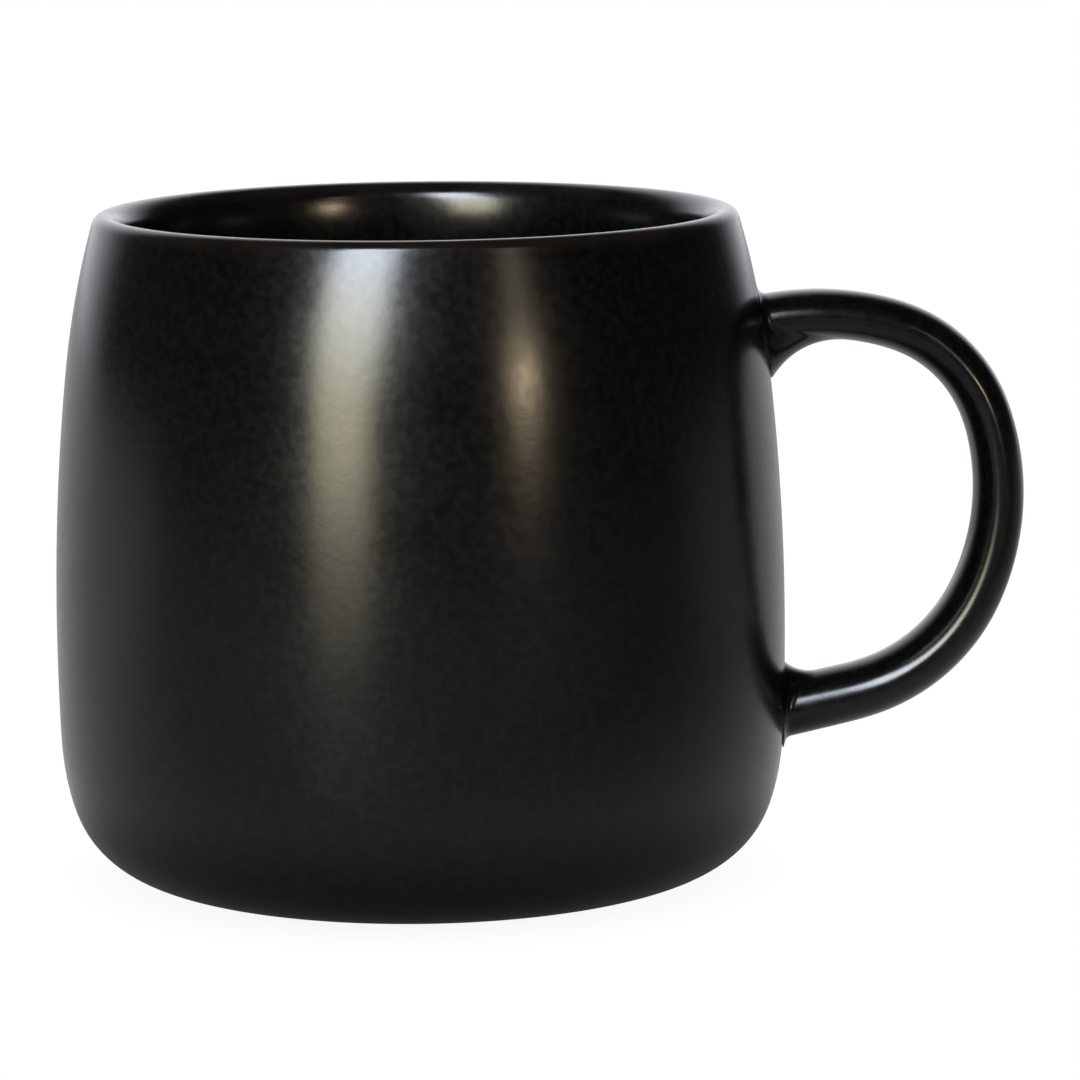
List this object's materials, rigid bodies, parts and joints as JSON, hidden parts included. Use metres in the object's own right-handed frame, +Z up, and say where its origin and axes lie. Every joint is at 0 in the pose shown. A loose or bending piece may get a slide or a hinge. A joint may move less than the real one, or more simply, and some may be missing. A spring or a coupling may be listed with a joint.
{
  "type": "ceramic mug",
  "caption": "Barrel-shaped stoneware mug with a rounded lip, a bare foot ring and a round-section loop handle, in satin black glaze.",
  "frame": {"origin": "on the cup's axis, in the plane that the foot ring stands on", "axes": "+Z up along the cup's axis, +X out through the middle of the handle, +Y to the handle's left seen from the handle"},
  "size_m": [0.1251, 0.094, 0.086],
  "materials": {
    "stoneware": "bare fired stoneware, fine grained, matt, buff grey",
    "slip": "fired slip, smooth, matt, sealed under the glaze",
    "black_glaze": "satin black glaze, softly mottled, with broad blurred highlights"
  },
  "bodies": {
    "root": {"cup_body": "stoneware", "handle": "stoneware", "upper_slip_joint": "slip", "lower_slip_joint": "slip", "cup_glaze": "black_glaze", "handle_glaze": "black_glaze", "base_glaze": "black_glaze"}
  },
  "joints": []
}
